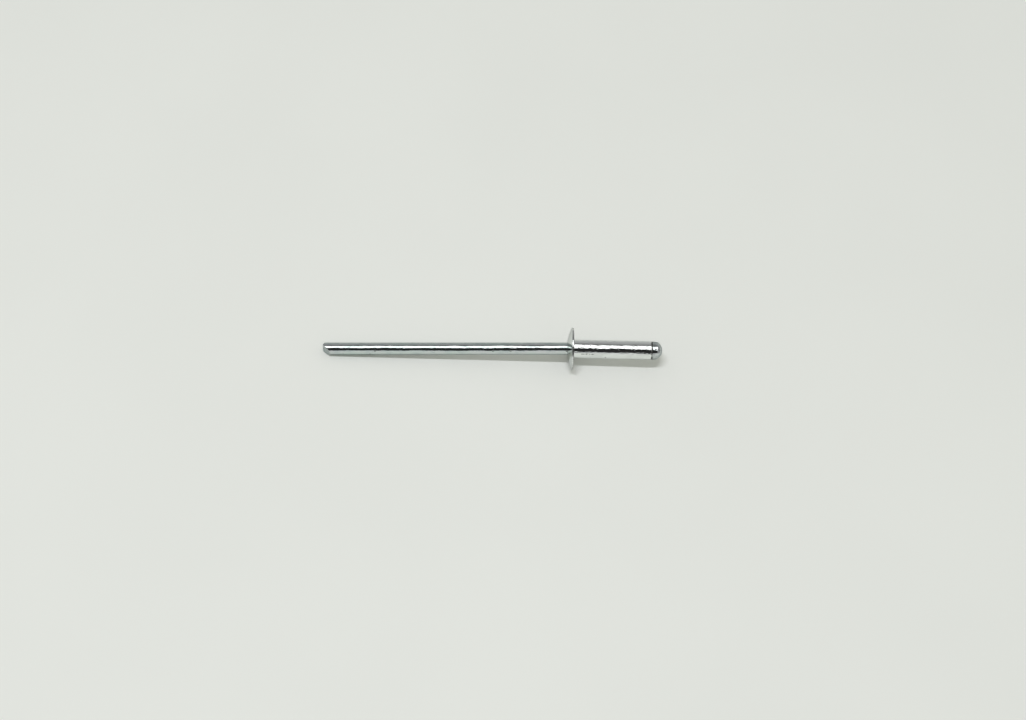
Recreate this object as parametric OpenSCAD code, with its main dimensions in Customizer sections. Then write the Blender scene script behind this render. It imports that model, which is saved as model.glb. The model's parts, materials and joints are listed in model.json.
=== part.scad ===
// Blind rivet with a domed flange, not yet set, lying as it comes to rest.
// The origin is the centre of the shank where it meets the seat of the flange.
// The head points along +X, and the rivet rests on its flange's rim and its stem's cut tip.

/* [Shank] */
// Outside diameter of the hollow shank
shank_d = 2.4; // [2.2:0.05:2.8]
// Length of the shank from the flange's seat to its open end
shank_len = 10.1; // [6:0.1:16]
// Rounding of the shank's open end
shank_round = 0.14; // [0.05:0.01:0.2]
// Fillet where the shank grows out of the flange
root_fillet = 0.1; // [0.02:0.01:0.15]
// Diameter of the bore that the mandrel passes through
bore_d = 1.62; // [1.59:0.01:1.7]

/* [Flange] */
// Outside diameter of the flange
flange_d = 5.4; // [4.4:0.1:6]
// Height of the domed crown over the seat, beside the stem
crown_h = 0.78; // [0.6:0.02:1]
// Thickness of the flange at its rim
rim_h = 0.27; // [0.2:0.01:0.4]
// Rounding of the rim's two edges
rim_round = 0.09; // [0.04:0.01:0.1]
// Rounding of the bore's mouth in the crown
mouth_round = 0.08; // [0.04:0.01:0.12]

/* [Mandrel] */
// Diameter of the mandrel's wire
stem_d = 1.55; // [1.45:0.01:1.57]
// Length of the bare stem from the crown to its cut tip
stem_len = 31.4; // [25:0.1:40]
// Slight downward bend of the stem where it leaves the flange
stem_bend = 2.3; // [0.5:0.1:3]
// Diameter of the neck that breaks when the rivet is set
neck_d = 1.1; // [0.9:0.05:1.3]
// Distance from the middle of that neck to the head
neck_gap = 0.7; // [0.5:0.1:2]
// Width of the neck's groove at the wire's surface
neck_w = 0.6; // [0.4:0.05:0.8]

/* [Mandrel head] */
// Diameter of the mandrel's head where it is widest, at its back
head_d = 2.32; // [2:0.02:2.4]
// Diameter of the head where its nose begins
nose_d = 2.27; // [1.9:0.01:2.3]
// Length of the head up to its nose
head_len = 0.7; // [0.5:0.05:1]
// Length of the head's domed nose
nose_len = 0.68; // [0.4:0.02:0.9]
// Bevel round the back of the head, beside the shank's open end
head_bevel = 0.08; // [0.02:0.01:0.12]

/* [Cut tip] */
// Angle between the stem's axis and the pinched facet that faces -Y
front_cut = 42.5; // [30:0.5:60]
// Angle between the stem's axis and the pinched facet that faces +Y
back_cut = 60; // [45:1:75]
// How far the edge between the two facets lies behind the stem's axis
edge_off = 0.1; // [0.02:0.02:0.3]
// Width of that edge where it is blunt
edge_w = 0.06; // [0.02:0.01:0.1]

/* [Hidden] */
$fn = 96;
arc_steps = 8;
cutter = 8;
shank_r = shank_d / 2;
bore_r = bore_d / 2;
flange_r = flange_d / 2;
stem_r = stem_d / 2;
neck_r = neck_d / 2;
head_r = head_d / 2;
nose_rim = nose_d / 2;
// The dome is part of a ball that passes through the crown's edge and the top of the rim.
dome_in = bore_r + mouth_round;
dome_out = flange_r - rim_round;
dome_rise = crown_h - rim_h;
dome_low = (dome_out ^ 2 - dome_in ^ 2 - dome_rise ^ 2) / (2 * dome_rise);
dome_r = norm([dome_out, dome_low]);
// The nose is the cap of a ball that passes through the edge where the head ends.
nose_r = (nose_rim ^ 2 + nose_len ^ 2) / (2 * nose_len);
// The bend lies just outside the crown, clear of the bore.
bend_gap = 0.05;
bend_z = -crown_h - bend_gap;
tip_z = bend_gap - stem_len;
// The tip's facets would meet this far beyond its blunt edge.
edge_drop = edge_w / (tan(front_cut) + tan(back_cut));
// At rest the rim's rounded edge and the underside of the stem's tip touch the same level floor.
tip_reach = edge_drop - tip_z - edge_off / tan(front_cut);
rest_rise = flange_r - rim_round - tip_reach * sin(stem_bend) - stem_r * cos(stem_bend);
rest_run = rim_round - rim_h - bend_z + tip_reach * cos(stem_bend) - stem_r * sin(stem_bend);
rest_tilt = atan(rest_rise / rest_run) + asin(rim_round / norm([rest_rise, rest_run]));

// Points on an arc round [cx, cy], from angle a0 to angle a1
function arc(cx, cy, r, a0, a1) = [
    for (i = [0 : arc_steps])
        let (a = a0 + (a1 - a0) * i / arc_steps)
            [cx + r * cos(a), cy + r * sin(a)]
];

// Lays a turned shape down: its height then runs along the rivet, from the seat towards the head.
module lay_down() {
    rotate([0, 90 - rest_tilt, 0]) children();
}

// Flange without its hole, with the seat at height 0 and the crown below it
module flange_blank() {
    rim_angle = atan2(dome_low, dome_out);
    crown_angle = atan2(dome_low + dome_rise, dome_in);
    rotate_extrude()
        polygon(concat(
            [[0, 0]],
            arc(dome_out, -rim_round, rim_round, 90, 0),
            arc(dome_out, rim_round - rim_h, rim_round, 0, -rim_angle),
            arc(0, dome_low - rim_h, dome_r, -rim_angle, -crown_angle),
            [[0, -crown_h]]
        ));
}

// Shank without its bore, rounded at the open end and filleted at the root
module shank_blank() {
    rotate_extrude()
        polygon(concat(
            [[0, -rim_h / 2], [shank_r + root_fillet, -rim_h / 2]],
            arc(shank_r + root_fillet, root_fillet, root_fillet, 270, 180),
            arc(shank_r - shank_round, shank_len - shank_round, shank_round, 0, 90),
            [[0, shank_len]]
        ));
}

// Bore right through the body, with a rounded mouth in the crown
module bore() {
    translate([0, 0, -crown_h - 1])
        cylinder(r = bore_r, h = crown_h + shank_len + 2);
    rotate_extrude()
        polygon(concat(
            [[0, mouth_round - crown_h]],
            arc(dome_in, mouth_round - crown_h, mouth_round, 180, 270),
            [[dome_in, -crown_h - 1], [0, -crown_h - 1]]
        ));
}

// Hollow shank and domed flange, cold headed in one piece
module rivet_body() {
    color("#d3d5d2")
        lay_down()
            difference() {
                union() {
                    flange_blank();
                    shank_blank();
                }
                bore();
            }
}

// Part of the mandrel inside the body, with the break neck and the head
module headed_wire() {
    neck_z = shank_len - neck_gap;
    neck_flat = neck_w / 6;
    nose_z = shank_len + head_len + nose_len - nose_r;
    nose_angle = asin((nose_r - nose_len) / nose_r);
    rotate_extrude()
        polygon(concat(
            [
                [0, bend_z - 1],
                [stem_r, bend_z - 1],
                [stem_r, neck_z - neck_w / 2],
                [neck_r, neck_z - neck_flat],
                [neck_r, neck_z + neck_flat],
                [stem_r, neck_z + neck_w / 2],
                [stem_r, shank_len],
                [head_r - head_bevel, shank_len],
                [head_r, shank_len + head_bevel]
            ],
            arc(0, nose_z, nose_r, nose_angle, 90)
        ));
}

// Bare stem, its bent end at height 0 and its pinched tip below
module bare_stem() {
    difference() {
        translate([0, 0, tip_z])
            cylinder(r = stem_r, h = 1 - tip_z);
        translate([0, edge_off, tip_z - edge_drop])
            rotate([front_cut, 0, 0])
                translate([-cutter / 2, -cutter, -cutter / 2])
                    cube(cutter);
        translate([0, edge_off, tip_z - edge_drop])
            rotate([-back_cut, 0, 0])
                translate([-cutter / 2, 0, -cutter / 2])
                    cube(cutter);
    }
}

// Block that ends in the plane halving the bend: above it for side 0, below it for side -1
module bend_block(side) {
    rotate([0, -stem_bend / 2, 0])
        translate([-cutter / 2, -cutter / 2, side * cutter])
            cube(cutter);
}

// Steel mandrel: head, break neck and stem in one piece of wire
module mandrel() {
    color("#a9b2af")
        lay_down()
            union() {
                difference() {
                    headed_wire();
                    translate([0, 0, bend_z]) bend_block(-1);
                }
                translate([0, 0, bend_z])
                    difference() {
                        rotate([0, -stem_bend, 0]) bare_stem();
                        bend_block(0);
                    }
            }
}

rivet_body();
mandrel();
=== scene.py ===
"""Looks of an unset blind rivet: a bright aluminium body on a zinc-plated steel mandrel.

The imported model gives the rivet's place, axes and main radii. Every piece here is turned from a
profile in metres on its own axis (height 0 at the flange's seat, the head upwards, +X down and
+Y away from the front) and is then laid along the axis that the frame states.
"""

import json
import math
import random

import bmesh
import bpy
from mathutils import Matrix, Vector


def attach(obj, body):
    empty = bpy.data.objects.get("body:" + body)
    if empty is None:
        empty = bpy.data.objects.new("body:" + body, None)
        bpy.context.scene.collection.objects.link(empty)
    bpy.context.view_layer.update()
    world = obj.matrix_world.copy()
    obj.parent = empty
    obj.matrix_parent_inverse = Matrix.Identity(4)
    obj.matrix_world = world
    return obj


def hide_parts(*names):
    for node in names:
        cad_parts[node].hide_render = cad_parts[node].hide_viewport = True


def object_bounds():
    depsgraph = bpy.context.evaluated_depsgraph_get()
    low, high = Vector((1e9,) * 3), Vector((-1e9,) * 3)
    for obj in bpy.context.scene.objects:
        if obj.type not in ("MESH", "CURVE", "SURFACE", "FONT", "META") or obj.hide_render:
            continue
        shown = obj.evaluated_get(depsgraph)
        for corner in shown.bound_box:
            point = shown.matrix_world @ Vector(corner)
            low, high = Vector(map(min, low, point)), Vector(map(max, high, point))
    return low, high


bl_info = {
    "name": "Blind rivet",
    "version": (1, 0, 0),
    "blender": (4, 5, 0),
    "location": "View3D > Sidebar > Rivet",
    "description": "Builds a blind rivet's body, mandrel and stage round its packed model",
    "category": "Add Mesh",
}

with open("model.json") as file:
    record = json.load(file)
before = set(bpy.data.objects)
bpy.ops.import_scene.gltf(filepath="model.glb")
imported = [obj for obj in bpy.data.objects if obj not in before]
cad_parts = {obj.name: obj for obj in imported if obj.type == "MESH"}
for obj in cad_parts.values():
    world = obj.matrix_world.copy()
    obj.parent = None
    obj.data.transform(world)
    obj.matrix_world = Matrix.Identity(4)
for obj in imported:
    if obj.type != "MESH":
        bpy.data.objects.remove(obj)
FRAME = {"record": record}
CAD_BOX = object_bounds()
MM = 0.001
MOUNTS = {mount["name"]: mount for mount in FRAME["record"]["mounts"]}
SEAT = Vector(MOUNTS["flange_seat"]["pos_m"])
BODY_AXIS = Vector(MOUNTS["shank"]["axis"])
STEM_AXIS = -Vector(MOUNTS["stem"]["axis"])
SHANK_R = MOUNTS["shank"]["dims"]["r_mm"] * MM
STEM_R = MOUNTS["stem"]["dims"]["r_mm"] * MM
DOWN = Vector((0, 0, -1))
# The stem bends this far outside the crown, and its pinch reaches this far from the tip.
BEND_GAP = 0.05 * MM
PINCH_REACH = 1.1 * MM
# Spacing of a skin's rings on straight stretches, and where it is pinched.
RING_GAP = 0.25 * MM
FINE_GAP = 0.02 * MM
# Largest steps of arcs, in degrees: edges, the flange's dome and the mandrel's nose.
ARC_STEP = 9
DOME_STEP = 1.2
NOSE_STEP = 2
# Width of the camera's sensor, in millimetres.
SENSOR_WIDTH = 36


# ---------------------------------------------------------------- settings


class RivetBodySettings(bpy.types.PropertyGroup):
    """Sizes and colours of the hollow shank and its domed flange."""

    shank_length: bpy.props.FloatProperty(
        name="Shank length",
        description="From the flange's seat to the open end",
        default=10.1 * MM,
        unit="LENGTH",
    )
    end_round: bpy.props.FloatProperty(
        name="End rounding",
        description="Radius of the shank's open end",
        default=0.14 * MM,
        unit="LENGTH",
    )
    root_fillet: bpy.props.FloatProperty(
        name="Root fillet",
        description="Radius where the shank grows out of the seat",
        default=0.1 * MM,
        unit="LENGTH",
    )
    bore_radius: bpy.props.FloatProperty(
        name="Bore radius",
        description="Radius of the hole for the mandrel",
        default=0.81 * MM,
        unit="LENGTH",
    )
    flange_radius: bpy.props.FloatProperty(
        name="Flange radius",
        description="Outside radius of the flange",
        default=2.7 * MM,
        unit="LENGTH",
    )
    crown_height: bpy.props.FloatProperty(
        name="Crown height",
        description="Height of the dome over the seat, beside the stem",
        default=0.78 * MM,
        unit="LENGTH",
    )
    rim_height: bpy.props.FloatProperty(
        name="Rim thickness",
        description="Thickness of the flange at its rim",
        default=0.27 * MM,
        unit="LENGTH",
    )
    rim_round: bpy.props.FloatProperty(
        name="Rim rounding",
        description="Radius of the rim's two edges",
        default=0.09 * MM,
        unit="LENGTH",
    )
    mouth_round: bpy.props.FloatProperty(
        name="Mouth rounding",
        description="Radius of the bore's mouth in the crown",
        default=0.08 * MM,
        unit="LENGTH",
    )
    unevenness: bpy.props.FloatProperty(
        name="Unevenness",
        description="Depth of the slow swells that cold heading left in the rim and the shank",
        default=0.05 * MM,
        unit="LENGTH",
    )
    aluminium: bpy.props.FloatVectorProperty(
        name="Aluminium",
        description="Colour of the bright aluminium",
        default=(0.84, 0.87, 0.85),
        subtype="COLOR",
    )
    rubbed: bpy.props.FloatVectorProperty(
        name="Rubbed aluminium",
        description="Colour of the aluminium where tools and handling have rubbed it",
        default=(0.59, 0.61, 0.6),
        subtype="COLOR",
    )
    # Besides real grime in pits and nicks, this colour paints shade: the dark groove between the shank's
    # end and the head, and a thin line beside the flange's seat.
    grime: bpy.props.FloatVectorProperty(
        name="Grime",
        description="Colour of the grime in pits, nicks and the groove before the head",
        default=(0.13, 0.13, 0.12),
        subtype="COLOR",
    )


class RivetMandrelSettings(bpy.types.PropertyGroup):
    """Sizes and colours of the steel mandrel: stem, break neck, head and pinched tip."""

    stem_length: bpy.props.FloatProperty(
        name="Stem length",
        description="Bare stem from the crown to the cut tip",
        default=31.4 * MM,
        unit="LENGTH",
    )
    neck_radius: bpy.props.FloatProperty(
        name="Neck radius",
        description="Radius of the neck that breaks when the rivet is set",
        default=0.55 * MM,
        unit="LENGTH",
    )
    neck_gap: bpy.props.FloatProperty(
        name="Neck distance",
        description="From the middle of the neck to the head",
        default=0.7 * MM,
        unit="LENGTH",
    )
    neck_width: bpy.props.FloatProperty(
        name="Neck width",
        description="Width of the neck's groove at the wire's surface",
        default=0.6 * MM,
        unit="LENGTH",
    )
    head_radius: bpy.props.FloatProperty(
        name="Head radius",
        description="Radius of the mandrel's head at its back, where it is widest",
        default=1.16 * MM,
        unit="LENGTH",
    )
    nose_radius: bpy.props.FloatProperty(
        name="Nose radius",
        description="Radius of the head where its nose begins",
        default=1.135 * MM,
        unit="LENGTH",
    )
    head_length: bpy.props.FloatProperty(
        name="Head length",
        description="Length of the head up to its nose",
        default=0.7 * MM,
        unit="LENGTH",
    )
    nose_length: bpy.props.FloatProperty(
        name="Nose length",
        description="Length of the head's domed nose",
        default=0.68 * MM,
        unit="LENGTH",
    )
    head_bevel: bpy.props.FloatProperty(
        name="Head bevel",
        description="Bevel round the back of the head",
        default=0.08 * MM,
        unit="LENGTH",
    )
    nose_dents: bpy.props.FloatProperty(
        name="Nose dents",
        description="Depth of the deepest flats that the heading die left round the nose",
        default=0.07 * MM,
        unit="LENGTH",
    )
    unevenness: bpy.props.FloatProperty(
        name="Unevenness",
        description="Depth of the slow swells along the drawn wire",
        default=0.012 * MM,
        unit="LENGTH",
    )
    front_cut: bpy.props.FloatProperty(
        name="Front cut",
        description="Angle between the stem's axis and the tip's front facet",
        default=math.radians(42.5),
        subtype="ANGLE",
    )
    back_cut: bpy.props.FloatProperty(
        name="Back cut",
        description="Angle between the stem's axis and the tip's back facet",
        default=math.radians(60),
        subtype="ANGLE",
    )
    edge_offset: bpy.props.FloatProperty(
        name="Edge offset",
        description="How far the tip's edge lies behind the stem's axis",
        default=0.1 * MM,
        unit="LENGTH",
    )
    edge_width: bpy.props.FloatProperty(
        name="Edge width",
        description="Width of the tip's blunt edge",
        default=0.06 * MM,
        unit="LENGTH",
    )
    zinc: bpy.props.FloatVectorProperty(
        name="Zinc",
        description="Colour of the bright zinc plating",
        default=(0.65, 0.68, 0.68),
        subtype="COLOR",
    )
    tinted_zinc: bpy.props.FloatVectorProperty(
        name="Tinted zinc",
        description="Colour of the plating where its film is thicker and greener",
        default=(0.6, 0.68, 0.65),
        subtype="COLOR",
    )
    dull_zinc: bpy.props.FloatVectorProperty(
        name="Dull zinc",
        description="Colour of the duller, bluer blotches in the plating",
        default=(0.5, 0.57, 0.57),
        subtype="COLOR",
    )


class RivetStageSettings(bpy.types.PropertyGroup):
    """Floor, light and camera."""

    floor_color: bpy.props.FloatVectorProperty(
        name="Floor",
        description="Colour of the pale floor",
        default=(0.845, 0.852, 0.823),
        subtype="COLOR",
    )
    camera_elevation: bpy.props.FloatProperty(
        name="Camera elevation",
        description="Height of the camera's view, seen along the rivet",
        default=math.radians(56),
        subtype="ANGLE",
    )
    view_width: bpy.props.FloatProperty(
        name="View width",
        description="Width that the view covers at the rivet",
        default=132 * MM,
        unit="LENGTH",
    )
    focal_length: bpy.props.FloatProperty(
        name="Focal length",
        description="Lens of the camera, in millimetres",
        default=100,
    )
    key_lift: bpy.props.FloatProperty(
        name="Key lift",
        description="How far the key light stands over the camera's view",
        default=math.radians(24),
        subtype="ANGLE",
    )
    key_side: bpy.props.FloatProperty(
        name="Key side",
        description="How far the key light stands to the left",
        default=math.radians(4),
        subtype="ANGLE",
    )
    key_length: bpy.props.FloatProperty(
        name="Key length",
        description="Length of the key light's strip, along the rivet",
        default=0.26,
        unit="LENGTH",
    )
    key_width: bpy.props.FloatProperty(
        name="Key width",
        description="Width of the key light's strip",
        default=0.034,
        unit="LENGTH",
    )
    key_power: bpy.props.FloatProperty(
        name="Key power",
        description="Power of the key light, in watts",
        default=1.5,
    )
    key_color: bpy.props.FloatVectorProperty(
        name="Key colour",
        description="Colour of the key light",
        default=(0.94, 0.95, 1.0),
        subtype="COLOR",
    )
    fill_strength: bpy.props.FloatProperty(
        name="Fill strength",
        description="Brightness of the even light from the room",
        default=0.52,
    )
    fill_color: bpy.props.FloatVectorProperty(
        name="Fill colour",
        description="Colour of the even light from the room",
        default=(0.98, 1.0, 0.92),
        subtype="COLOR",
    )
    aim_along: bpy.props.FloatProperty(
        name="Aim along",
        description="From the stem's tip to the middle of the view",
        default=24.44 * MM,
        unit="LENGTH",
    )
    aim_up: bpy.props.FloatProperty(
        name="Aim up",
        description="From the stem up to the middle of the view",
        default=-1.466 * MM,
        unit="LENGTH",
    )


# ---------------------------------------------------------------- profiles


def arc(center, radius, start, end, step=ARC_STEP):
    """Points of an arc in a profile, from one angle to another, in degrees."""
    steps = max(2, math.ceil(abs(end - start) / step))
    points = []
    for i in range(steps + 1):
        angle = math.radians(start + (end - start) * i / steps)
        points.append((center[0] + radius * math.cos(angle), center[1] + radius * math.sin(angle)))
    return points


def line(start, end, gap=RING_GAP):
    """Points of a straight stretch of a profile, its two ends left out."""
    steps = max(1, round(math.dist(start, end) / gap))
    return [
        (
            start[0] + (end[0] - start[0]) * i / steps,
            start[1] + (end[1] - start[1]) * i / steps,
        )
        for i in range(1, steps)
    ]


def joined(*stretches):
    """One profile from stretches of points, with straight lines in the gaps between them."""
    points = []
    for stretch in stretches:
        if points:
            points += line(points[-1], stretch[0])
        points += stretch
    return points


def body_profile(sizes):
    """Closed outline of the hollow body: bore's mouth, dome, rim, shank, and back down the bore."""
    crown = -sizes.crown_height
    rim_r = sizes.rim_round
    inner = sizes.bore_radius + sizes.mouth_round
    outer = sizes.flange_radius - rim_r
    rise = sizes.crown_height - sizes.rim_height
    low = (outer**2 - inner**2 - rise**2) / (2 * rise)
    dome_r = math.hypot(outer, low)
    rim_angle = math.degrees(math.atan2(low, outer))
    crown_angle = math.degrees(math.atan2(low + rise, inner))
    fillet = sizes.root_fillet
    end = sizes.shank_length
    end_r = sizes.end_round
    mouth = (sizes.bore_radius, crown + sizes.mouth_round)
    # The arcs beside the dome stop short of its ends, so that no two rings fall together.
    return joined(
        arc((inner, mouth[1]), sizes.mouth_round, 180, 260),
        arc((0, low - sizes.rim_height), dome_r, -crown_angle, -rim_angle, DOME_STEP),
        arc((outer, rim_r - sizes.rim_height), rim_r, 6 - rim_angle, 0),
        arc((outer, -rim_r), rim_r, 0, 90),
        arc((SHANK_R + fillet, fillet), fillet, 270, 180),
        arc((SHANK_R - end_r, end - end_r), end_r, 0, 90),
        [(sizes.bore_radius, end)],
        [mouth],
    )


def nose_ball(sizes, back):
    """Radius of the ball that the nose is a cap of, and the height of its centre."""
    radius = (sizes.nose_radius**2 + sizes.nose_length**2) / (2 * sizes.nose_length)
    return radius, back + sizes.head_length + sizes.nose_length - radius


def mandrel_profile(sizes, body):
    """Outline of the mandrel from its tip to its nose, straight, before the tip is pinched."""
    tip = -body.crown_height - sizes.stem_length
    pinched = tip + PINCH_REACH
    neck = body.shank_length - sizes.neck_gap
    half = sizes.neck_width / 2
    back = body.shank_length
    bevel = sizes.head_bevel
    nose_r, nose_z = nose_ball(sizes, back)
    nose_angle = math.degrees(math.asin((nose_r - sizes.nose_length) / nose_r))
    side = (sizes.head_radius, back + bevel), (sizes.nose_radius, back + sizes.head_length)
    return joined(
        [(0, tip)],
        [(STEM_R, tip)] + line((STEM_R, tip), (STEM_R, pinched), FINE_GAP),
        [(STEM_R, neck - half)],
        [(sizes.neck_radius, neck - half / 3), (sizes.neck_radius, neck + half / 3)],
        [(STEM_R, neck + half)],
        [(STEM_R, back)],
        [(sizes.head_radius - bevel, back)],
        arc((sizes.head_radius - bevel, back + bevel), bevel, -60, 0),
        line(*side, 2 * FINE_GAP),
        arc((0, nose_z), nose_r, nose_angle, 90, NOSE_STEP),
    )


# ---------------------------------------------------------------- node helpers


def link(tree, source, target):
    """Joins two sockets."""
    tree.links.new(source, target)


def feed(tree, value, target):
    """Links a socket to an input, or sets the input to a plain value."""
    if isinstance(value, bpy.types.NodeSocket):
        link(tree, value, target)
    else:
        target.default_value = value


def math_node(tree, operation, *values):
    """A Math node with its inputs linked or set; returns its output."""
    node = tree.nodes.new("ShaderNodeMath")
    node.operation = operation
    for socket, value in zip(node.inputs, values):
        feed(tree, value, socket)
    return node.outputs[0]


def combine(tree, x, y, z):
    """A vector from three values, each linked or set."""
    node = tree.nodes.new("ShaderNodeCombineXYZ")
    for socket, value in zip(node.inputs, (x, y, z)):
        feed(tree, value, socket)
    return node.outputs[0]


def separated(tree, vector):
    """The X, Y and Z of a vector."""
    node = tree.nodes.new("ShaderNodeSeparateXYZ")
    link(tree, vector, node.inputs[0])
    return node.outputs


def add_socket(tree, name, kind, in_out="INPUT", default=None):
    """Adds a named socket to a node group's interface."""
    socket = tree.interface.new_socket(name=name, in_out=in_out, socket_type=kind)
    if default is not None:
        socket.default_value = default


# ---------------------------------------------------------------- turning tree


def turning_tree():
    """Geometry Nodes tree that turns a profile of points (X radius, Z height) into a closed skin."""
    tree = bpy.data.node_groups.new("Turned piece", "GeometryNodeTree")
    add_socket(tree, "Profile", "NodeSocketGeometry")
    add_socket(tree, "Segments", "NodeSocketInt", default=192)
    add_socket(tree, "Largest Radius", "NodeSocketFloat", default=MM)
    add_socket(tree, "Ripple Depth", "NodeSocketFloat", default=0.0)
    add_socket(tree, "Ripple Length", "NodeSocketFloat", default=MM)
    add_socket(tree, "Seed", "NodeSocketFloat", default=0.0)
    add_socket(tree, "Material", "NodeSocketMaterial")
    add_socket(tree, "Piece", "NodeSocketGeometry", in_out="OUTPUT")
    nodes = tree.nodes
    given = nodes.new("NodeGroupInput").outputs
    size = nodes.new("GeometryNodeAttributeDomainSize")
    link(tree, given["Profile"], size.inputs[0])
    across = math_node(tree, "ADD", given["Segments"], 1)
    grid = nodes.new("GeometryNodeMeshGrid")
    link(tree, size.outputs["Point Count"], grid.inputs["Vertices X"])
    link(tree, across, grid.inputs["Vertices Y"])
    # The grid's points are counted ring by ring, and then step by step round each ring.
    index = nodes.new("GeometryNodeInputIndex").outputs[0]
    centered = math_node(tree, "ADD", index, 0.5)
    ring = math_node(tree, "FLOOR", math_node(tree, "DIVIDE", centered, across))
    step = math_node(tree, "SUBTRACT", index, math_node(tree, "MULTIPLY", ring, across))
    sample = nodes.new("GeometryNodeSampleIndex")
    sample.data_type = "FLOAT_VECTOR"
    position = nodes.new("GeometryNodeInputPosition").outputs[0]
    link(tree, given["Profile"], sample.inputs["Geometry"])
    link(tree, position, sample.inputs["Value"])
    link(tree, ring, sample.inputs["Index"])
    radius, _, height = separated(tree, sample.outputs[0])
    turn = math_node(tree, "MULTIPLY", math_node(tree, "DIVIDE", step, given["Segments"]), math.tau)
    cos, sin = math_node(tree, "COSINE", turn), math_node(tree, "SINE", turn)

    # Slow ripples of the skin: longer along the piece than round it.
    ripples = nodes.new("ShaderNodeTexNoise")
    ripples.noise_dimensions = "4D"
    ripples.inputs["Scale"].default_value = 1.0
    ripples.inputs["Detail"].default_value = 1.0
    along = math_node(tree, "DIVIDE", height, given["Ripple Length"])
    ripples_round = 1.6
    spot = combine(
        tree,
        math_node(tree, "MULTIPLY", cos, ripples_round),
        math_node(tree, "MULTIPLY", sin, ripples_round),
        along,
    )
    link(tree, spot, ripples.inputs["Vector"])
    link(tree, given["Seed"], ripples.inputs["W"])
    swing = math_node(tree, "SUBTRACT", ripples.outputs[0], 0.5)
    depth = math_node(tree, "MULTIPLY", swing, given["Ripple Depth"])
    share = math_node(tree, "DIVIDE", radius, given["Largest Radius"])
    depth = math_node(tree, "MULTIPLY", depth, share)
    rippled = math_node(tree, "ADD", radius, depth)

    spread = nodes.new("GeometryNodeSetPosition")
    link(tree, grid.outputs["Mesh"], spread.inputs["Geometry"])
    turned = combine(
        tree,
        math_node(tree, "MULTIPLY", rippled, cos),
        math_node(tree, "MULTIPLY", rippled, sin),
        height,
    )
    link(tree, turned, spread.inputs["Position"])
    # The seam and the poles close where points fall together.
    together = 1e-8
    merge = nodes.new("GeometryNodeMergeByDistance")
    merge.inputs["Distance"].default_value = together
    link(tree, spread.outputs[0], merge.inputs["Geometry"])
    smooth = nodes.new("GeometryNodeSetShadeSmooth")
    link(tree, merge.outputs[0], smooth.inputs["Geometry"])
    realize = nodes.new("GeometryNodeRealizeInstances")
    link(tree, smooth.outputs[0], realize.inputs["Geometry"])
    paint = nodes.new("GeometryNodeSetMaterial")
    link(tree, realize.outputs[0], paint.inputs["Geometry"])
    link(tree, given["Material"], paint.inputs["Material"])
    link(tree, paint.outputs[0], nodes.new("NodeGroupOutput").inputs["Piece"])
    return tree


def turned_mesh(name, points, values):
    """A plain mesh of the profile turned by the tree, with the named inputs set."""
    tree = bpy.data.node_groups.get("Turned piece") or turning_tree()
    outline = bpy.data.meshes.new(name + "_outline")
    edges = [(i, i + 1) for i in range(len(points) - 1)]
    outline.from_pydata([(radius, 0, height) for radius, height in points], edges, [])
    holder = bpy.data.objects.new(name + "_outline", outline)
    bpy.context.scene.collection.objects.link(holder)
    modifier = holder.modifiers.new("Turned", "NODES")
    modifier.node_group = tree
    for socket in tree.interface.items_tree:
        if socket.in_out == "INPUT" and socket.name in values:
            modifier[socket.identifier] = values[socket.name]
    graph = bpy.context.evaluated_depsgraph_get()
    mesh = bpy.data.meshes.new_from_object(holder.evaluated_get(graph))
    holder.modifiers.remove(modifier)
    bpy.data.objects.remove(holder)
    bpy.data.meshes.remove(outline)
    mesh.name = name
    return mesh


# ---------------------------------------------------------------- shaping


def standing(origin, x_axis, y_axis, z_axis):
    """Matrix that moves a thing to an origin and turns it to the three axes given."""
    return Matrix.Translation(origin) @ Matrix((x_axis, y_axis, z_axis)).transposed().to_4x4()


def laid_down(axis, start):
    """Matrix from a piece's upright frame to the rivet's: height along the axis, +X down."""
    back = axis.cross(DOWN - axis * axis.dot(DOWN)).normalized()
    return standing(start, back.cross(axis).normalized(), back, axis)


def direction(turn, tilt):
    """Unit vector at one angle round the upright axis and another from it."""
    level = math.sin(tilt)
    return Vector((math.cos(turn) * level, math.sin(turn) * level, math.cos(tilt)))


def bend_point(body):
    """Where the stem leaves the shank's axis, just outside the crown."""
    return SEAT - BODY_AXIS * (body.crown_height + BEND_GAP)


def flatten_head(mesh, sizes, back):
    """Presses flats on the head: long wedges along its side and smaller ones round its nose."""
    chance = random.Random(5)
    side_flats, nose_flats = 9, 7
    first_flat = 202
    start = back + sizes.head_bevel * 0.6
    nose_r, nose_z = nose_ball(sizes, back)
    planes = []
    for i in range(side_flats):
        # All but the first are a little out of their even places.
        stray = chance.uniform(-5, 5) * min(i, 1)
        turn = math.radians(first_flat + 360 / side_flats * i + stray)
        tilt = math.radians(chance.uniform(83, 86))
        reach = sizes.head_radius * math.sin(tilt) + start * math.cos(tilt)
        planes.append((direction(turn, tilt), reach))
    for i in range(nose_flats):
        turn = math.radians(360 / nose_flats * i + chance.uniform(-12, 12))
        tilt = math.radians(chance.uniform(32, 54))
        depth = sizes.nose_dents * chance.uniform(0.5, 1)
        planes.append((direction(turn, tilt), nose_z * math.cos(tilt) + nose_r - depth))
    for vertex in mesh.vertices:
        if vertex.co.z > start:
            for normal, reach in planes:
                vertex.co -= normal * max(0, vertex.co.dot(normal) - reach)


def pinch_tip(mesh, sizes, tip):
    """Presses the stem's end between two slanting planes that leave a narrow blunt edge."""
    front, back = math.tan(sizes.front_cut), math.tan(sizes.back_cut)
    half = sizes.edge_width / 2
    # The pinch's edges are rounded by about this much.
    soft = 0.008 * MM
    for vertex in mesh.vertices:
        rise = vertex.co.z - tip
        if rise < 2 * PINCH_REACH:
            low = sizes.edge_offset - half - rise * front
            high = sizes.edge_offset + half + rise * back
            y = vertex.co.y
            y = (y + low + math.hypot(y - low, soft)) / 2
            vertex.co.y = (y + high - math.hypot(y - high, soft)) / 2


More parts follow.
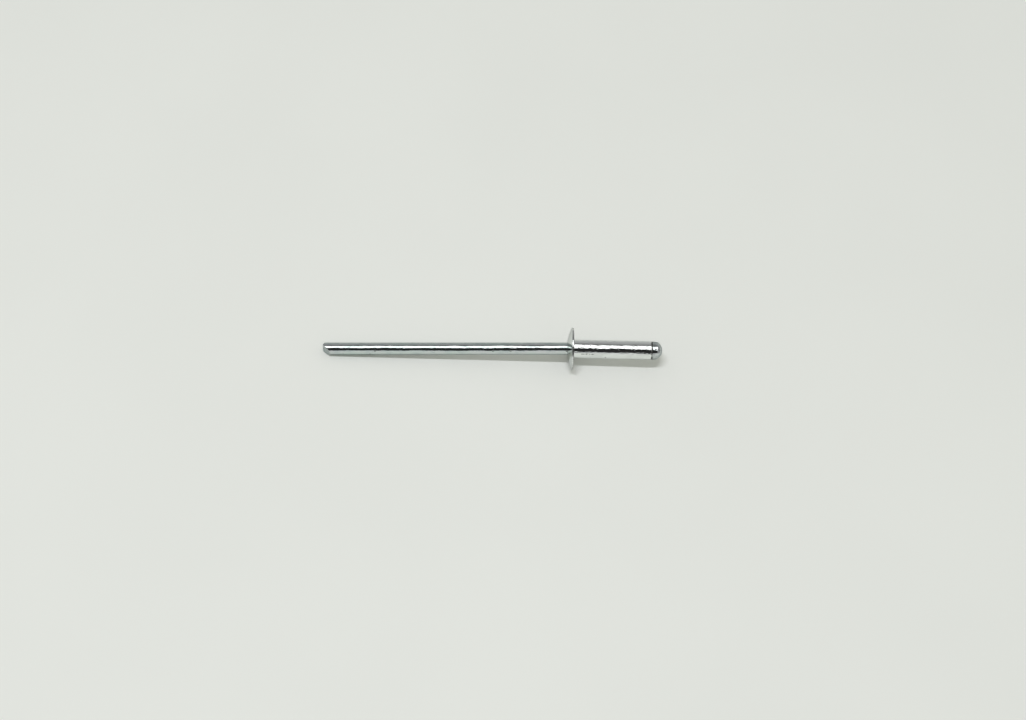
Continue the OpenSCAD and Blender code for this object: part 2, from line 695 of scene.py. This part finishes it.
def bend_stem(mesh, bend_z):
    """Turns everything below the bend down by the angle between the two axes that the frame states."""
    angle = BODY_AXIS.angle(STEM_AXIS)
    cos, sin = math.cos(angle), math.sin(angle)
    for vertex in mesh.vertices:
        x, z = vertex.co.x, vertex.co.z - bend_z
        if z < 0:
            vertex.co.x = x * cos - z * sin
            vertex.co.z = bend_z + x * sin + z * cos


def face_outwards(mesh):
    """Recalculates the normals of a closed mesh so that they point outwards."""
    shape = bmesh.new()
    shape.from_mesh(mesh)
    bmesh.ops.recalc_face_normals(shape, faces=shape.faces)
    shape.to_mesh(mesh)
    shape.free()


def keep_upright(mesh):
    """Stores every point's place on the upright, unbent piece for the materials, in millimetres."""
    store = mesh.attributes.new("upright", "FLOAT_VECTOR", "POINT")
    for vertex, value in zip(mesh.vertices, store.data):
        value.vector = vertex.co / MM


def add_piece(name, mesh, node):
    """Puts a finished mesh in the scene in a CAD node's stead."""
    piece = bpy.data.objects.new(name, mesh)
    bpy.context.scene.collection.objects.link(piece)
    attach(piece, "root")
    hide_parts(node)


# ---------------------------------------------------------------- shared effects


def effect(name, inputs, outputs):
    """A new shader node group with named inputs and outputs; returns it with both ends."""
    tree = bpy.data.node_groups.new(name, "ShaderNodeTree")
    for label, default in inputs.items():
        kind = "NodeSocketVector" if default is None else "NodeSocketFloat"
        add_socket(tree, label, kind, default=default)
    for label in outputs:
        add_socket(tree, label, "NodeSocketFloat", in_out="OUTPUT")
    given = tree.nodes.new("NodeGroupInput").outputs
    result = tree.nodes.new("NodeGroupOutput").inputs
    return tree, given, result


def stretched(tree, vector, across, along):
    """The vector divided by one size across the piece and another along it."""
    node = tree.nodes.new("ShaderNodeVectorMath")
    node.operation = "DIVIDE"
    link(tree, vector, node.inputs[0])
    link(tree, combine(tree, across, across, along), node.inputs[1])
    return node.outputs[0]


def noise(tree, vector, seed, detail, roughness=0.5):
    """Noise of unit size at a vector; returns its value."""
    node = tree.nodes.new("ShaderNodeTexNoise")
    node.noise_dimensions = "4D"
    node.inputs["Scale"].default_value = 1.0
    node.inputs["Detail"].default_value = detail
    node.inputs["Roughness"].default_value = roughness
    link(tree, vector, node.inputs["Vector"])
    feed(tree, seed, node.inputs["W"])
    return node.outputs[0]


def remap(tree, value, low, high, to_low=0.0, to_high=1.0):
    """A smooth step of the value between two limits."""
    node = tree.nodes.new("ShaderNodeMapRange")
    node.interpolation_type = "SMOOTHSTEP"
    for socket, source in zip(node.inputs, (value, low, high, to_low, to_high)):
        feed(tree, source, socket)
    return node.outputs[0]


def swells():
    """Slow swells of the surface, longer along the piece than round it."""
    tree, given, result = effect(
        "Swells", {"Vector": None, "Across": 0.8, "Along": 2.2, "Seed": 1.0}, ["Height"]
    )
    spot = stretched(tree, given["Vector"], given["Across"], given["Along"])
    link(tree, noise(tree, spot, given["Seed"], 1.5), result["Height"])
    return tree


def drawn_lines():
    """Fine lines that a die or a tool drew along the piece."""
    tree, given, result = effect(
        "Drawn lines",
        {"Vector": None, "Width": 0.08, "Length": 1.5, "Seed": 2.0},
        ["Height", "Streaks"],
    )
    spot = stretched(tree, given["Vector"], given["Width"], given["Length"])
    link(tree, noise(tree, spot, given["Seed"], 2.0, 0.65), result["Height"])
    wide = math_node(tree, "MULTIPLY", given["Width"], 2.3)
    long = math_node(tree, "MULTIPLY", given["Length"], 2.0)
    spot = stretched(tree, given["Vector"], wide, long)
    broad = noise(tree, spot, given["Seed"], 2.0)
    link(tree, remap(tree, broad, 0.5, 0.68), result["Streaks"])
    return tree


def blotches():
    """Cloudy patches of duller finish."""
    tree, given, result = effect(
        "Blotches",
        {"Vector": None, "Across": 0.9, "Along": 1.6, "Threshold": 0.5, "Seed": 3.0},
        ["Blotches"],
    )
    spot = stretched(tree, given["Vector"], given["Across"], given["Along"])
    cloud = noise(tree, spot, given["Seed"], 3.0, 0.6)
    upper = math_node(tree, "ADD", given["Threshold"], 0.18)
    link(tree, remap(tree, cloud, given["Threshold"], upper), result["Blotches"])
    return tree


def specks():
    """Scattered small pits, each in a cell of its own."""
    tree, given, result = effect(
        "Specks",
        {"Vector": None, "Across": 0.5, "Along": 0.8, "Size": 0.16, "Share": 0.3},
        ["Specks"],
    )
    cells = tree.nodes.new("ShaderNodeTexVoronoi")
    cells.inputs["Scale"].default_value = 1.0
    spot = stretched(tree, given["Vector"], given["Across"], given["Along"])
    link(tree, spot, cells.inputs["Vector"])
    far = math_node(tree, "MULTIPLY", given["Size"], 1.5)
    pit = remap(tree, cells.outputs["Distance"], given["Size"], far, 1.0, 0.0)
    split = tree.nodes.new("ShaderNodeSeparateColor")
    link(tree, cells.outputs["Color"], split.inputs[0])
    kept = math_node(tree, "LESS_THAN", split.outputs[0], given["Share"])
    link(tree, math_node(tree, "MULTIPLY", pit, kept), result["Specks"])
    return tree


def rim_wear():
    """Broken wear round the widest edge of a turned piece."""
    tree, given, result = effect(
        "Rim wear", {"Vector": None, "Radius": 1.0, "Width": 0.1, "Seed": 4.0}, ["Wear"]
    )
    x, y, _ = separated(tree, given["Vector"])
    flat = tree.nodes.new("ShaderNodeVectorMath")
    flat.operation = "LENGTH"
    link(tree, combine(tree, x, y, 0), flat.inputs[0])
    start = math_node(tree, "SUBTRACT", given["Radius"], given["Width"])
    edge = remap(tree, flat.outputs["Value"], start, given["Radius"])
    patch = noise(tree, stretched(tree, given["Vector"], 0.25, 0.25), given["Seed"], 2.0)
    broken = remap(tree, patch, 0.35, 0.65, 0.25, 1.0)
    link(tree, math_node(tree, "MULTIPLY", edge, broken), result["Wear"])
    return tree


def grime_band():
    """A broken band of painted shade round the piece at one height."""
    tree, given, result = effect(
        "Grime band", {"Vector": None, "Height": 1.0, "Width": 0.1, "Seed": 5.0}, ["Grime"]
    )
    height = separated(tree, given["Vector"])[2]
    off = math_node(tree, "ABSOLUTE", math_node(tree, "SUBTRACT", height, given["Height"]))
    patch = noise(tree, stretched(tree, given["Vector"], 0.35, 0.35), given["Seed"], 2.0)
    reach = math_node(tree, "MULTIPLY", given["Width"], remap(tree, patch, 0.35, 0.65, 0.5, 1.8))
    inner = math_node(tree, "MULTIPLY", reach, 0.5)
    link(tree, remap(tree, off, inner, reach, 1.0, 0.0), result["Grime"])
    return tree


def place(tree, builder, vector, **values):
    """Puts a shared effect in a material, with its own values; returns its outputs."""
    name = builder.__name__.replace("_", " ").capitalize()
    node = tree.nodes.new("ShaderNodeGroup")
    node.node_tree = bpy.data.node_groups.get(name) or builder()
    link(tree, vector, node.inputs["Vector"])
    for label, value in values.items():
        node.inputs[label.capitalize()].default_value = value
    return node.outputs


# ---------------------------------------------------------------- materials


def upright_place(tree):
    """The stored place on the upright piece, in millimetres."""
    stored = tree.nodes.new("ShaderNodeAttribute")
    stored.attribute_name = "upright"
    return stored.outputs["Vector"]


def mixed(tree, factor, first, second):
    """A colour mixed from two, each linked or set; returns it."""
    node = tree.nodes.new("ShaderNodeMix")
    node.data_type = "RGBA"
    link(tree, factor, node.inputs["Factor"])
    for socket, color in ((node.inputs[6], first), (node.inputs[7], second)):
        if isinstance(color, bpy.types.NodeSocket):
            link(tree, color, socket)
        else:
            socket.default_value = (*color, 1)
    return node.outputs[2]


def total(tree, *terms):
    """The sum of values, each times its weight."""
    result = None
    for value, weight in terms:
        part = math_node(tree, "MULTIPLY", value, weight)
        result = part if result is None else math_node(tree, "ADD", result, part)
    return result


def metal(name):
    """A bare metal material; returns it with its tree, its shader and the stored place."""
    material = bpy.data.materials.new(name)
    material.use_nodes = True
    tree = material.node_tree
    shader = tree.nodes["Principled BSDF"]
    shader.inputs["Metallic"].default_value = 1.0
    return material, tree, shader, upright_place(tree)


def bump(tree, shader, height):
    """Feeds a height in millimetres to the shader's normal."""
    node = tree.nodes.new("ShaderNodeBump")
    node.inputs["Strength"].default_value = 1.0
    node.inputs["Distance"].default_value = MM
    link(tree, height, node.inputs["Height"])
    link(tree, node.outputs[0], shader.inputs["Normal"])


def finish(tree, shader, color, polish, rough, relief):
    """Feeds a finish to the shader: colour, least roughness, what roughens it, relief in millimetres."""
    link(tree, color, shader.inputs["Base Color"])
    link(tree, math_node(tree, "ADD", total(tree, *rough), polish), shader.inputs["Roughness"])
    bump(tree, shader, total(tree, *relief))


def nick_row(tree, spot):
    """A short row of nicks along the shank's lower front side, close to the flange."""
    first, last, fade = 0.9, 2.7, 0.2
    inner, outer = 0.04, 0.09
    column = Vector((-0.39, -0.92, 0)) * SHANK_R / MM
    gap = tree.nodes.new("ShaderNodeVectorMath")
    gap.operation = "DISTANCE"
    flat = tree.nodes.new("ShaderNodeVectorMath")
    flat.operation = "MULTIPLY"
    flat.inputs[1].default_value = (1, 1, 0)
    link(tree, spot, flat.inputs[0])
    link(tree, flat.outputs[0], gap.inputs[0])
    gap.inputs[1].default_value = column
    height = separated(tree, spot)[2]
    near = remap(tree, gap.outputs["Value"], inner, outer, 1.0, 0.0)
    begun = remap(tree, height, first, first + fade)
    left = remap(tree, height, last - fade, last, 1.0, 0.0)
    ends = math_node(tree, "MULTIPLY", begun, left)
    dashes = remap(tree, noise(tree, stretched(tree, spot, 2.0, 0.16), 9.0, 0.0), 0.5, 0.56)
    return math_node(tree, "MULTIPLY", math_node(tree, "MULTIPLY", near, dashes), ends)


def bright_aluminium(sizes):
    """Bright cold-headed aluminium: drawn lines, pits, a row of nicks, a rubbed rim, and painted shade
    at the open end and beside the seat.
    """
    material, tree, shader, spot = metal("bright_aluminium")
    shader.inputs["Specular Tint"].default_value = (0.66, 0.66, 0.66, 1)
    swell = place(tree, swells, spot, across=0.9, along=1.8, seed=5.0)["Height"]
    lines = place(tree, drawn_lines, spot, width=0.17, length=0.75, seed=6.0)
    pits = place(tree, specks, spot, across=0.6, along=0.9, size=0.1, share=0.18)["Specks"]
    dull = place(tree, blotches, spot, across=0.8, along=2.6, threshold=0.5, seed=7.0)["Blotches"]
    worn = place(tree, rim_wear, spot, radius=sizes.flange_radius / MM, width=0.14, seed=8.0)["Wear"]
    marks = math_node(tree, "MAXIMUM", pits, nick_row(tree, spot))
    # Painted shade: a dark band at the open end stands for the groove before the head, and a thin line
    # on the worn rim beside the seat stands for the shade there.
    end = sizes.shank_length / MM
    grime = place(tree, grime_band, spot, height=end, width=0.1, seed=9.0)["Grime"]
    corner = place(tree, grime_band, spot, height=-0.03, width=0.06, seed=10.0)["Grime"]
    grime = math_node(tree, "MAXIMUM", grime, math_node(tree, "MULTIPLY", corner, worn))
    color = mixed(tree, math_node(tree, "MULTIPLY", dull, 0.35), sizes.aluminium, sizes.rubbed)
    color = mixed(tree, math_node(tree, "MULTIPLY", worn, 0.8), color, sizes.rubbed)
    color = mixed(tree, math_node(tree, "MULTIPLY", marks, 0.8), color, sizes.grime)
    color = mixed(tree, grime, color, sizes.grime)
    # The drawn lines fade out towards the flange.
    faded = remap(tree, separated(tree, spot)[2], 0, 0.3, 0.25, 1)
    drawn = math_node(tree, "MULTIPLY", lines["Height"], faded)
    rough = ((lines["Streaks"], 0.04), (dull, 0.05), (worn, 0.14), (marks, 0.3), (grime, 0.4))
    relief = ((swell, 0.03), (drawn, 0.028), (marks, -0.012))
    finish(tree, shader, color, 0.035, rough, relief)
    return material


def zinc_plated_steel(sizes, body):
    """Bright zinc over drawn steel wire: drawn lines, tinted and duller blotches, small pits, and a band
    of painted shade at the head's back.
    """
    material, tree, shader, spot = metal("zinc_plated_steel")
    shader.inputs["Specular Tint"].default_value = (0.24, 0.27, 0.27, 1)
    back = body.shank_length / MM
    swell = place(tree, swells, spot, across=0.8, along=2.2, seed=11.0)["Height"]
    # Small folds show on the head only.
    folds = place(tree, swells, spot, across=0.3, along=0.4, seed=15.0)["Height"]
    headed = remap(tree, separated(tree, spot)[2], back + 0.15, back + 0.45)
    folds = math_node(tree, "MULTIPLY", folds, headed)
    lines = place(tree, drawn_lines, spot, width=0.15, length=1.4, seed=12.0)
    pits = place(tree, specks, spot, across=0.5, along=0.9, size=0.13, share=0.26)["Specks"]
    dull = place(tree, blotches, spot, across=0.7, along=1.5, threshold=0.48, seed=13.0)["Blotches"]
    tint = place(tree, blotches, spot, across=3.0, along=5.0, threshold=0.42, seed=16.0)["Blotches"]
    worn = place(tree, rim_wear, spot, radius=sizes.head_radius / MM, width=0.08, seed=14.0)["Wear"]
    # Painted shade: a dark band round the back of the head, for the groove between it and the shank's
    # end.
    grime = place(tree, grime_band, spot, height=back, width=0.09, seed=17.0)["Grime"]
    color = mixed(tree, tint, sizes.zinc, sizes.tinted_zinc)
    color = mixed(tree, math_node(tree, "MULTIPLY", dull, 0.7), color, sizes.dull_zinc)
    bare_steel = (0.3, 0.32, 0.32)
    color = mixed(tree, math_node(tree, "MULTIPLY", worn, 0.6), color, bare_steel)
    color = mixed(tree, math_node(tree, "MULTIPLY", pits, 0.75), color, body.grime)
    color = mixed(tree, grime, color, body.grime)
    rough = ((lines["Streaks"], 0.05), (dull, 0.08), (worn, 0.1), (pits, 0.3), (grime, 0.4))
    relief = ((swell, 0.026), (lines["Height"], 0.014), (folds, 0.01), (pits, -0.01))
    finish(tree, shader, color, 0.04, rough, relief)
    return material


def pale_floor(color):
    """Smooth pale paper for the floor, with a faint mottle."""
    material = bpy.data.materials.new("pale_floor")
    material.use_nodes = True
    tree = material.node_tree
    shader = tree.nodes["Principled BSDF"]
    coords = tree.nodes.new("ShaderNodeTexCoord").outputs["Object"]
    mottle = remap(tree, noise(tree, stretched(tree, coords, 0.03, 0.03), 31.0, 2.0), 0.3, 0.7)
    darker = [c * 0.985 for c in color]
    link(tree, mixed(tree, mottle, color, darker), shader.inputs["Base Color"])
    shader.inputs["Roughness"].default_value = 0.9
    shader.inputs["Specular IOR Level"].default_value = 0.1
    return material


# ---------------------------------------------------------------- room and light


def room_light(settings):
    """World of a plain studio: what bare metal mirrors, and a softer even light for the rest."""
    world = bpy.data.worlds.new("studio")
    world.use_nodes = True
    tree = world.node_tree
    tree.nodes.clear()
    coords = tree.nodes.new("ShaderNodeTexCoord").outputs["Generated"]
    x, y, z = separated(tree, coords)
    height = math_node(tree, "ARCTAN2", z, math_node(tree, "MULTIPLY", y, -1))
    share = math_node(tree, "DIVIDE", height, math.pi)

    def ring(stops):
        """Brightness against the angle over the front horizon, in degrees."""
        ramp = tree.nodes.new("ShaderNodeValToRGB")
        link(tree, share, ramp.inputs[0])
        elements = ramp.color_ramp.elements
        for element, (angle, value) in zip(elements, (stops[0], stops[-1])):
            element.position = angle / 180
            element.color = (value, value, value, 1)
        for angle, value in stops[1:-1]:
            elements.new(angle / 180).color = (value, value, value, 1)
        return ramp.outputs[0]

    # From the front horizon up and over: a pale wall, a dark gap, the soft box, the dim back.
    middle = ring(
        (
            (0, 0.72),
            (14, 0.7),
            (18, 0.03),
            (69, 0.015),
            (71, 1.0),
            (102, 1.0),
            (104, 0.17),
            (122, 0.22),
            (150, 0.42),
            (180, 0.46),
        )
    )
    sides = ring(((0, 0.5), (60, 0.25), (90, 0.2), (120, 0.22), (180, 0.35)))
    aside = remap(tree, math_node(tree, "ABSOLUTE", x), 0.72, 0.88)
    room = tree.nodes.new("ShaderNodeBackground")
    link(tree, mixed(tree, aside, middle, sides), room.inputs["Color"])
    # The soft box itself is brighter than a white wall.
    box_gain = 2.1
    inside = math_node(tree, "MULTIPLY", middle, math_node(tree, "SUBTRACT", 1, aside))
    link(tree, remap(tree, inside, 0.8, 1.0, 1.0, box_gain), room.inputs["Strength"])
    plain = tree.nodes.new("ShaderNodeBackground")
    plain.inputs["Color"].default_value = (*settings.fill_color, 1)
    # The even light doubles from the horizon to overhead, so the floor darkens under the rivet.
    level = 0.6
    above = math_node(tree, "MULTIPLY", math_node(tree, "MAXIMUM", z, 0), level)
    weight = math_node(tree, "ADD", above, level)
    strength = math_node(tree, "MULTIPLY", weight, settings.fill_strength)
    link(tree, strength, plain.inputs["Strength"])
    rays = tree.nodes.new("ShaderNodeLightPath")
    pick = tree.nodes.new("ShaderNodeMixShader")
    link(tree, rays.outputs["Is Glossy Ray"], pick.inputs[0])
    link(tree, plain.outputs[0], pick.inputs[1])
    link(tree, room.outputs[0], pick.inputs[2])
    out = tree.nodes.new("ShaderNodeOutputWorld")
    link(tree, pick.outputs[0], out.inputs["Surface"])
    return world


# ---------------------------------------------------------------- operators


class RIVET_OT_body(bpy.types.Operator):
    """Turn the hollow aluminium shank and its domed flange"""

    bl_idname = "rivet.body"
    bl_label = "Rivet body"

    def execute(self, context):
        sizes = context.scene.rivet_body
        values = {
            "Segments": 224,
            "Largest Radius": sizes.flange_radius,
            "Ripple Depth": sizes.unevenness,
            "Ripple Length": 2.4 * MM,
            "Seed": 3.0,
            "Material": bright_aluminium(sizes),
        }
        mesh = turned_mesh("rivet_body_turned", body_profile(sizes), values)
        face_outwards(mesh)
        keep_upright(mesh)
        mesh.transform(laid_down(BODY_AXIS, SEAT))
        mesh.set_sharp_from_angle(angle=math.radians(40))
        add_piece("rivet_body_turned", mesh, "rivet_body")
        return {"FINISHED"}


class RIVET_OT_mandrel(bpy.types.Operator):
    """Turn the steel mandrel, flatten its head, pinch its tip and bend its stem"""

    bl_idname = "rivet.mandrel"
    bl_label = "Mandrel"

    def execute(self, context):
        sizes = context.scene.rivet_mandrel
        body = context.scene.rivet_body
        values = {
            "Segments": 192,
            "Largest Radius": STEM_R,
            "Ripple Depth": sizes.unevenness,
            "Ripple Length": 2.0 * MM,
            "Seed": 8.0,
            "Material": zinc_plated_steel(sizes, body),
        }
        mesh = turned_mesh("mandrel_turned", mandrel_profile(sizes, body), values)
        tip = -body.crown_height - sizes.stem_length
        flatten_head(mesh, sizes, body.shank_length)
        pinch_tip(mesh, sizes, tip)
        face_outwards(mesh)
        keep_upright(mesh)
        bend_stem(mesh, -body.crown_height - BEND_GAP)
        mesh.transform(laid_down(BODY_AXIS, SEAT))
        mesh.set_sharp_from_angle(angle=math.radians(35))
        add_piece("mandrel_turned", mesh, "mandrel")
        return {"FINISHED"}


class RIVET_OT_stage(bpy.types.Operator):
    """Lay the pale floor and set the light and the camera"""

    bl_idname = "rivet.stage"
    bl_label = "Stage"

    def execute(self, context):
        settings = context.scene.rivet_stage
        scene = context.scene
        scene.view_settings.view_transform = "Standard"
        floor_z = CAD_BOX[0][2]
        reach = 3.0
        corners = ((-reach, -reach), (reach, -reach), (reach, reach), (-reach, reach))
        mesh = bpy.data.meshes.new("floor")
        mesh.from_pydata([(*corner, floor_z) for corner in corners], [], [(0, 1, 2, 3)])
        mesh.materials.append(pale_floor(settings.floor_color))
        floor = bpy.data.objects.new("floor", mesh)
        scene.collection.objects.link(floor)

        # The camera looks square on to the stem, so the stem lies level in its view.
        right = STEM_AXIS
        upright = (right * right.dot(DOWN) - DOWN).normalized()
        front = right.cross(upright).normalized()
        elevation = settings.camera_elevation
        back = front * math.cos(elevation) + upright * math.sin(elevation)
        up = back.cross(right).normalized()
        distance = settings.view_width * settings.focal_length / SENSOR_WIDTH
        stem_run = scene.rivet_mandrel.stem_length - BEND_GAP
        tip = bend_point(scene.rivet_body) - right * stem_run
        aim = tip + right * settings.aim_along + up * settings.aim_up
        lens = bpy.data.cameras.new("camera")
        lens.lens = settings.focal_length
        lens.sensor_width = SENSOR_WIDTH
        lens.clip_start = 0.01
        camera = bpy.data.objects.new("camera", lens)
        camera.matrix_world = standing(aim + back * distance, right, up, back)
        scene.collection.objects.link(camera)
        scene.camera = camera

        # The key light is a narrow strip along the rivet, a little over the camera's view.
        key_distance = 0.6
        lift = elevation + settings.key_lift
        toward = front * math.cos(lift) + upright * math.sin(lift)
        toward = toward * math.cos(settings.key_side) - right * math.sin(settings.key_side)
        toward.normalize()
        lamp = bpy.data.lights.new("key", "AREA")
        lamp.shape = "RECTANGLE"
        lamp.size = settings.key_length
        lamp.size_y = settings.key_width
        lamp.energy = settings.key_power
        lamp.color = settings.key_color
        key = bpy.data.objects.new("key", lamp)
        side = toward.cross(right).normalized()
        key.matrix_world = standing(aim + toward * key_distance, side.cross(toward), side, toward)
        key.visible_glossy = False
        scene.collection.objects.link(key)
        scene.world = room_light(settings)
        return {"FINISHED"}


class RIVET_PT_panel(bpy.types.Panel):
    """Sidebar panel that lists the rivet's pieces"""

    bl_label = "Blind rivet"
    bl_idname = "RIVET_PT_panel"
    bl_space_type = "VIEW_3D"
    bl_region_type = "UI"
    bl_category = "Rivet"

    def draw(self, context):
        column = self.layout.column()
        for operator in OPERATORS:
            column.operator(operator.bl_idname)


SETTINGS = {
    "rivet_body": RivetBodySettings,
    "rivet_mandrel": RivetMandrelSettings,
    "rivet_stage": RivetStageSettings,
}
OPERATORS = (RIVET_OT_body, RIVET_OT_mandrel, RIVET_OT_stage)
CLASSES = (*SETTINGS.values(), *OPERATORS, RIVET_PT_panel)


def register():
    for cls in CLASSES:
        bpy.utils.register_class(cls)
    for name, cls in SETTINGS.items():
        setattr(bpy.types.Scene, name, bpy.props.PointerProperty(type=cls))


def unregister():
    for name in SETTINGS:
        delattr(bpy.types.Scene, name)
    for cls in reversed(CLASSES):
        bpy.utils.unregister_class(cls)


def main():
    """Builds the rivet and its stage."""
    register()
    bpy.ops.rivet.body()
    bpy.ops.rivet.mandrel()
    bpy.ops.rivet.stage()


if __name__ == "__main__":
    main()
